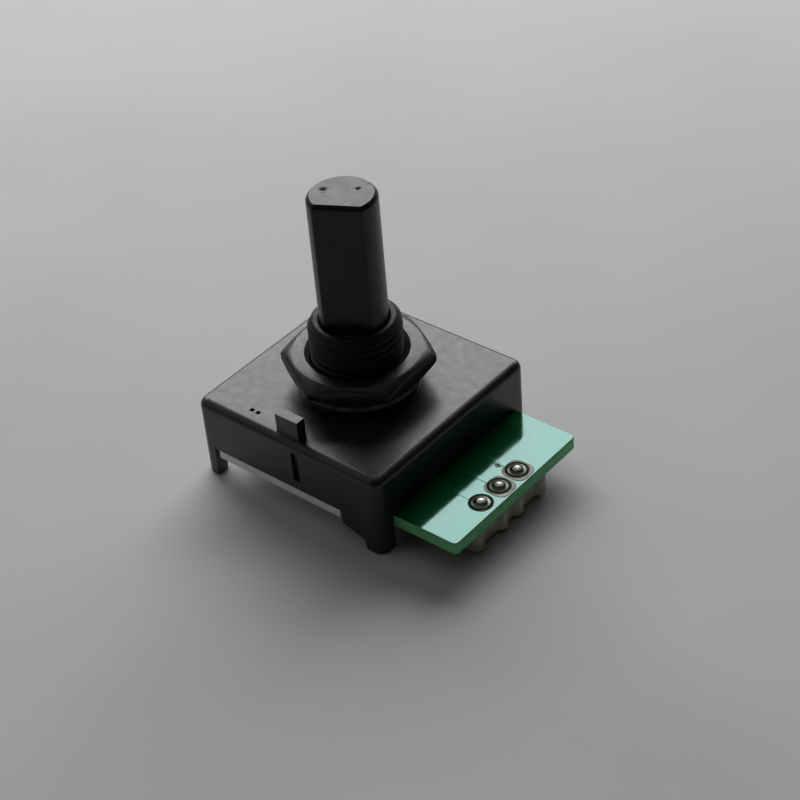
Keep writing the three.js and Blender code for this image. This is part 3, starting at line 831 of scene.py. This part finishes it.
def flat_outline(distance, radius):
    """The shaft's section: a circle cut by the flat, with the two corners slightly rounded."""
    angles = [2 * math.pi * k / SHAFT_SIDES for k in range(SHAFT_SIDES)]
    angles += [side * (FLAT_CORNER + step) for side in (-1, 1) for step in FLAT_CORNER_STEPS]
    sharp = FLAT_CORNER_SHARPNESS
    points = []
    for a in sorted({round(a % (2 * math.pi), 6) for a in angles}):
        r = radius
        if math.cos(a) > 0:
            straight = distance / math.cos(a)
            r = (radius ** -sharp + straight ** -sharp) ** (-1 / sharp)
        points.append((r * math.cos(a + FLAT_ANGLE), r * math.sin(a + FLAT_ANGLE)))
    return points


def at_height(outline, z):
    return [(x, y, z) for x, y in outline]


def scaled(outline, factor):
    return [(x * factor, y * factor) for x, y in outline]


def blended(one, other, share):
    """An outline part of the way from one to the other."""
    pairs = zip(one, other)
    return [((1 - share) * a + share * c, (1 - share) * b + share * d) for (a, b), (c, d) in pairs]


def flange_rings(full):
    bottom, top = SHAFT_FLANGE_Z
    profile = [
        (SHAFT_FLANGE_R - SHAFT_FLANGE_EDGE, bottom),
        (SHAFT_FLANGE_R, bottom + SHAFT_FLANGE_EDGE),
        (SHAFT_FLANGE_R, top - SHAFT_FLANGE_EDGE),
        (SHAFT_FLANGE_R - SHAFT_FLANGE_EDGE, top),
        (SHAFT_R, top),
    ]
    return [at_height(scaled(full, r / SHAFT_R), z) for r, z in profile]


def flat_rings(full, cut_down, bottom):
    """Where the flat starts: the round section turns into the cut one along a short slope."""
    rings = [at_height(full, bottom - RUNOUT_EDGE)]
    for k in range(RUNOUT_STEPS + 1):
        share = k / RUNOUT_STEPS
        section = blended(full, cut_down, share)
        rings.append(at_height(section, bottom + RUNOUT_RISE * share * share))
    rings.append(at_height(cut_down, bottom + RUNOUT_LENGTH))
    return rings


def end_face_height(x, y, top):
    """The shaft's end face, with its dimples and the faint mark of the moulding gate."""
    z = top
    for cx, cy, radius, depth in (*DIMPLES, GATE_MARK):
        away = math.hypot(x - cx, y - cy) / radius
        if away < 1:
            z -= depth * (0.5 + 0.5 * math.cos(math.pi * away))
    return z


def end_rings(top):
    """The end chamfer, and the end face in rings that close on the axis."""
    rings = []
    for k in range(1, CHAMFER_STEPS + 1):
        step = SHAFT_CHAMFER * k / CHAMFER_STEPS
        outline = flat_outline(FLAT_DISTANCE - step, SHAFT_R - step)
        rings.append(at_height(outline, top - SHAFT_CHAMFER + step))
    edge = SHAFT_CHAMFER + CHAMFER_EDGE
    face = flat_outline(FLAT_DISTANCE - edge, SHAFT_R - edge)
    for k in range(END_FACE_STEPS):
        shrunk = scaled(face, 1 - k / END_FACE_STEPS)
        rings.append([(x, y, end_face_height(x, y, top)) for x, y in shrunk])
    return rings


def shaft_drive():
    """The stub under the flange, with two flats that turn the rotor."""
    top = SHAFT_FLANGE_Z[0] + BURIED
    drive = turned("drive", [(SHAFT_DRIVE_R, SHAFT_DRIVE_BOTTOM), (SHAFT_DRIVE_R, top)])
    reach = SHAFT_DRIVE_R + BEYOND
    for side in (-1, 1):
        x = sorted((side * SHAFT_DRIVE_FLAT, side * reach))
        low = (x[0], -reach, SHAFT_DRIVE_BOTTOM - BEYOND)
        high = (x[1], reach, top + BEYOND)
        cut(drive, box("drive_cut", low, high))
    return drive


def shaft_pivot(bottom):
    profile = [
        (SHAFT_PIVOT_R - PIVOT_CHAMFER, bottom),
        (SHAFT_PIVOT_R, bottom + PIVOT_CHAMFER),
        (SHAFT_PIVOT_R, SHAFT_DRIVE_BOTTOM + BURIED),
    ]
    return turned("pivot", profile, sides=PIVOT_SIDES)


def build_shaft():
    low, high = span("shaft")
    full = flat_outline(SHAFT_R * CLEAR_OF_SECTION, SHAFT_R)
    cut_down = flat_outline(FLAT_DISTANCE, SHAFT_R)
    flat_bottom = span("threaded_bushing")[1].z - FLAT_BELOW_BUSHING
    rings = flange_rings(full) + flat_rings(full, cut_down, flat_bottom)
    rings.append(at_height(cut_down, high.z - SHAFT_CHAMFER - CHAMFER_EDGE))
    rings += end_rings(high.z)
    shaft = loft("shaft_body", rings)
    join(shaft, shaft_drive())
    join(shaft, shaft_pivot(low.z))
    shaft.name = "shaft_body"
    add_piece(smooth(shaft, SHAFT_SMOOTHING), SHAFT_PLASTIC, "shaft_plastic", "rotor", "shaft")


# ---------------------------------------------------------------- board, terminals and plate

def terminal_places():
    places = []
    for number in (1, 2, 3):
        low, high = span(f"terminal_pin_{number}")
        places.append((low + high) / 2)
    return places


def board_holes():
    holes = [(0, 0, PIVOT_HOLE_R)]
    holes += [(-STAKE_AT, side * STAKE_AT, STAKE_HOLE_R) for side in (-1, 1)]
    holes += [(place.x, place.y, PIN_HOLE_R) for place in terminal_places()]
    holes.append((*VIA_AT, VIA_HOLE_R))
    return holes


def board_layer(name, set_back, z0, z1, edge):
    low, high = BOARD_LOW, BOARD_HIGH
    outline = rounded_rectangle(
        low.x + set_back, low.y + set_back, high.x - set_back, high.y - set_back, BOARD_CORNER_R)
    layer = slab(name, outline, z0, z1, edge, 0, MASK_EDGE_STEPS)
    for x, y, r in board_holes():
        ends = [(r, low.z - BEYOND), (r, BOARD_TOP + BEYOND)]
        cut(layer, turned("hole", ends, sides=HOLE_SIDES, centre=(x, y)))
    layer.name = name
    return smooth(layer)


def build_board():
    """The laminate core, with a layer of solder mask on each face."""
    core = board_layer("board", 0, BOARD_LOW.z + MASK_T, BOARD_TOP - MASK_T, 0)
    add_piece(core, LAMINATE, "green_board", "base", "pcb")
    top = board_layer("mask_top", 0, BOARD_TOP - MASK_T, BOARD_TOP, MASK_T)
    add_piece(top, MASK, "green_board", "base", "pcb")
    rear = board_layer("mask_rear", REAR_MASK_SET_BACK, BOARD_LOW.z, BOARD_LOW.z + MASK_T, 0)
    add_piece(rear, MASK, "green_board", "base", "pcb")


def stadium(x0, x1, y, width, steps=12):
    """A strip along X with round ends."""
    r = width / 2
    return arc(x1 - r, y, r, -90, 90, steps) + arc(x0 + r, y, r, 90, 270, steps)


def build_pad(number, place):
    half = PAD_WIDTHS[number - 1] / 2
    inner, outer = place.x - PAD_INNER[number - 1], place.x + PAD_OUTER[number - 1]
    outline = rounded_rectangle(
        inner, place.y - half, outer, place.y + half, half * PAD_ROUNDNESS)
    pad = slab(f"pad_{number}", outline, BOARD_TOP - BURIED, BOARD_TOP + PAD_T, PAD_EDGE)
    add_piece(smooth(pad), DULL_TIN, "solder", "base")


def build_trace(number, place):
    outline = stadium(HALF - TRACE_COVERED, place.x, place.y, TRACE_WIDTH)
    trace = slab(f"trace_{number}", outline, BOARD_TOP - BURIED, BOARD_TOP + TRACE_T, TRACE_EDGE)
    add_piece(smooth(trace), MASK_OVER_COPPER, "green_board", "base")


def build_via():
    profile = [
        (VIA_HOLE_R, BOARD_TOP - VIA_ROOT),
        (VIA_R, BOARD_TOP - BURIED),
        (VIA_R, BOARD_TOP + VIA_SIDE_T),
        (VIA_R - VIA_EDGE, BOARD_TOP + VIA_T),
        (VIA_LIP_R, BOARD_TOP + VIA_LIP_T),
    ]
    via = turned("via", profile, closed=True, sides=HOLE_SIDES, centre=VIA_AT)
    add_piece(smooth(via, SMALL_SMOOTHING), MASK_OVER_COPPER, "green_board", "base")


def build_pads_and_traces():
    for number, place in enumerate(terminal_places(), 1):
        build_pad(number, place)
        build_trace(number, place)
    build_via()


def joint_profile(radius, top):
    """A solder joint's outline: a low foot, then a hollow slope up to the pin."""
    profile = [
        (JOINT_BORE_R, BOARD_TOP - JOINT_ROOT),
        (radius, BOARD_TOP - BURIED),
        (radius, BOARD_TOP + JOINT_FOOT_T),
    ]
    for k in range(1, JOINT_STEPS + 1):
        share = k / JOINT_STEPS
        rise = (top - BOARD_TOP - JOINT_CROWN) * share ** JOINT_HOLLOW
        profile.append((radius - (radius - JOINT_NECK_R) * share, BOARD_TOP + JOINT_SLOPE_Z + rise))
    profile.append((JOINT_BORE_R, top - JOINT_LIP))
    return profile


def make_irregular(joint, place, radius, number):
    """Swells and pinches a solder joint a little, each one its own way round."""
    for vertex in joint.data.vertices:
        dx = vertex.co.x / MM - place.x
        dy = vertex.co.y / MM - place.y
        outwards = min(math.hypot(dx, dy) / radius, 1)
        wave = math.sin(2 * math.atan2(dy, dx) + JOINT_TURN * number) * JOINT_WAVE * outwards
        vertex.co.x += dx * wave * MM
        vertex.co.y += dy * wave * MM


def build_joint(number, place):
    low, high = span(f"solder_joint_{number}")
    radius = (high.x - low.x) / 2
    profile = joint_profile(radius, high.z)
    joint = turned(f"joint_{number}", profile, closed=True, sides=JOINT_SIDES, centre=place.xy)
    make_irregular(joint, place, radius, number)
    # The joint's dark colour is a painted reflection.
    add_piece(smooth(joint, SMALL_SMOOTHING), PAINTED_DARK_SOLDER, "solder", "base", f"solder_joint_{number}")
    # Adds the dark ring of painted shade round the joint.
    build_painted_shade_ring(number, place, radius)


def build_painted_shade_ring(number, place, radius):
    """A dark ring painted round a joint: painted shade for the solder fillet's dark reflection."""
    pad_top = BOARD_TOP + PAD_T
    inner, outer = radius - SHADE_RING_COVERED, radius + SHADE_RING_SPREAD
    profile = [
        (inner, pad_top - SHADE_RING_BURIED),
        (outer, pad_top - SHADE_RING_BURIED),
        (outer - SHADE_RING_EDGE, pad_top + SHADE_RING_EDGE_T),
        (inner, pad_top + SHADE_RING_T),
    ]
    painted_shade_ring = turned(f"flux_{number}", profile, closed=True, sides=JOINT_SIDES, centre=place.xy)
    add_piece(smooth(painted_shade_ring, SMALL_SMOOTHING), PAINTED_SHADE_RING, "solder", "base")


def build_pin(number):
    low, high = span(f"terminal_pin_{number}")
    section = rounded_rectangle(low.x, low.y, high.x, high.y, PIN_CORNER_R, PIN_CORNER_STEPS)
    name = f"pin_{number}"
    pin = slab(name, section, low.z, high.z, PIN_TIP_EDGE, PIN_FOOT_EDGE, PIN_CORNER_STEPS)
    add_piece(smooth(pin), TINNED, "tinned_pin", "base", f"terminal_pin_{number}")


def build_joints_and_pins():
    for number, place in enumerate(terminal_places(), 1):
        build_joint(number, place)
        build_pin(number)


def build_terminal_base():
    """The strip that carries the pins, with a row of lobes along its outer side."""
    low, high = span("terminal_base")
    middle = (low.y + high.y) / 2
    face = high.x - BASE_LOBE_RISE
    outline = [(low.x, high.y), (low.x, low.y)]
    for offset in BASE_LOBES:
        near = middle + offset - BASE_LOBE_WIDTH / 2
        far = middle + offset + BASE_LOBE_WIDTH / 2
        outline += [(face, near), (high.x, near + BASE_LOBE_RISE)]
        outline += [(high.x, far - BASE_LOBE_RISE), (face, far)]
    base = slab("pin_strip", outline, low.z, high.z)
    round_edges(base, BASE_EDGE, BASE_EDGE_STEPS, BASE_EDGE_ANGLE)
    for place in terminal_places():
        ends = [(BASE_HOLE_R, low.z - BEYOND), (BASE_HOLE_R, high.z + BEYOND)]
        cut(base, turned("hole", ends, sides=BASE_HOLE_SIDES, centre=place.xy))
    base.name = "pin_strip"
    add_piece(smooth(base), PIN_STRIP_PLASTIC, "pin_strip_plastic", "base", "terminal_base")


def lip_section(side, root, out, height):
    """A turned-up edge of the plate, as an outline in Y and Z."""
    inner_bend = max(PLATE_BEND - PLATE_T * 0.5, LEAST_BEND)
    section = [(root, 0)]
    section += arc(out - PLATE_BEND, PLATE_BEND, PLATE_BEND, -90, 0, OUTER_BEND_STEPS)
    section += [(out, height), (out - PLATE_T, height)]
    section += arc(
        out - PLATE_T - inner_bend, PLATE_T + inner_bend, inner_bend, 0, -90, INNER_BEND_STEPS)
    section.append((root, PLATE_T))
    return [(side * y, z) for y, z in section]


def build_back_plate():
    low, high = span("back_plate")
    half = high.x
    outline = rounded_rectangle(low.x, -half, half, half, PLATE_CORNER_R)
    plate = slab("plate", outline, low.z, PLATE_T)
    for side in (-1, 1):
        section = lip_section(side, half - LIP_ROOT, high.y, high.z)
        join(plate, prism_across("lip", section, *LIP_ENDS, "X"))
        flare = [
            (STAKE_HEAD_R + STAKE_FLARE, -STAKE_FLARE_BELOW),
            (STAKE_R + STAKE_GAP, PLATE_T),
            (STAKE_R + STAKE_GAP, PLATE_T + BEYOND),
        ]
        hole = turned("hole", flare, sides=HOLE_SIDES, centre=(-STAKE_AT, side * STAKE_AT))
        cut(plate, hole)
    round_edges(plate, PLATE_EDGE, 2)
    plate.name = "plate"
    add_piece(smooth(plate), PLATE_STEEL, "plate_steel", "base", "back_plate")


def finish_inner_parts():
    """Gives the hidden pieces, which stay as the CAD nodes, their materials."""
    looks = {
        "thrust_washer": NATURAL_PLASTIC,
        "detent_rotor": NATURAL_PLASTIC,
        "detent_spring": SPRING_STEEL,
        "contact_wiper": BRONZE,
        "code_track_common": GOLD,
        "code_track_a": GOLD,
        "code_track_b": GOLD,
    }
    for node, material in looks.items():
        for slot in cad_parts[node].material_slots:
            slot.material = material


# ---------------------------------------------------------------- floor, light and camera

def direction(azimuth, elevation):
    """The way from the object to an azimuth (0 is the -Y side, 90 is +X) and an elevation."""
    a, e = math.radians(azimuth), math.radians(elevation)
    return Vector((math.sin(a) * math.cos(e), -math.cos(a) * math.cos(e), math.sin(e)))


def add_camera():
    data = bpy.data.cameras.new("camera")
    data.lens = CAMERA_LENS
    data.sensor_width = SENSOR_WIDTH
    data.clip_start = NEAR_CLIP
    camera = bpy.data.objects.new("camera", data)
    bpy.context.scene.collection.objects.link(camera)
    back = direction(CAMERA_AZIMUTH, CAMERA_ELEVATION)
    a, roll = math.radians(CAMERA_AZIMUTH), math.radians(CAMERA_ROLL)
    level = Vector((math.cos(a), math.sin(a), 0))
    right = level * math.cos(roll) + back.cross(level) * math.sin(roll)
    turn = Matrix((right, back.cross(right), back)).transposed().to_4x4()
    place = (Vector(CAMERA_TARGET) + back * CAMERA_DISTANCE) * MM
    camera.matrix_world = Matrix.Translation(place) @ turn
    bpy.context.scene.camera = camera


def add_area_light(name, azimuth, elevation, distance, size, power, color):
    data = bpy.data.lights.new(name, "AREA")
    data.shape = "RECTANGLE"
    data.size = size[0] * MM
    data.size_y = size[1] * MM
    data.energy = power
    data.color = color
    light = bpy.data.objects.new(name, data)
    bpy.context.scene.collection.objects.link(light)
    towards = direction(azimuth, elevation)
    light.location = towards * distance * MM
    light.rotation_euler = towards.to_track_quat("Z", "Y").to_euler()


def add_lights():
    """A wide window opposite the camera, a weak fill from the left and a weak ceiling."""
    add_area_light("window", 180 + CAMERA_AZIMUTH + WINDOW_AZIMUTH, WINDOW_ELEVATION,
                   WINDOW_DISTANCE, WINDOW_SIZE, WINDOW_POWER, WINDOW_COLOR)
    add_area_light("fill", FILL_AZIMUTH, FILL_ELEVATION,
                   FILL_DISTANCE, FILL_SIZE, FILL_POWER, FILL_COLOR)
    add_area_light("ceiling", 0, CEILING_ELEVATION,
                   CEILING_DISTANCE, CEILING_SIZE, CEILING_POWER, CEILING_COLOR)


def add_floor():
    half = FLOOR_SIZE / 2
    verts = [(-half, -half, FEET), (half, -half, FEET), (half, half, FEET), (-half, half, FEET)]
    floor = make_object("floor", verts, [(0, 1, 2, 3)])
    material, tree, shader = new_material("paper", Roughness=0.85)
    cloud = noise(tree, millimetres(tree), 0.04, 4.0)
    stops = [(0.3, FLOOR_DARK), (0.7, FLOOR_LIGHT)]
    tree.links.new(ramp(tree, cloud, stops), shader.inputs["Base Color"])
    bump(tree, shader, noise(tree, millimetres(tree), 3.0, 4.0), 0.01, 0.3)
    floor.data.materials.append(material)


def add_world():
    world = bpy.data.worlds.new("studio")
    world.use_nodes = True
    world.node_tree.nodes["Background"].inputs["Color"].default_value = WORLD_COLOR
    bpy.context.scene.world = world
    bpy.context.scene.view_settings.view_transform = "Standard"


add_camera()
add_world()
add_lights()
add_floor()
build_housing()
build_bushing()
build_washer()
build_nut()
build_shaft()
build_board()
build_pads_and_traces()
build_joints_and_pins()
build_terminal_base()
build_back_plate()
finish_inner_parts()
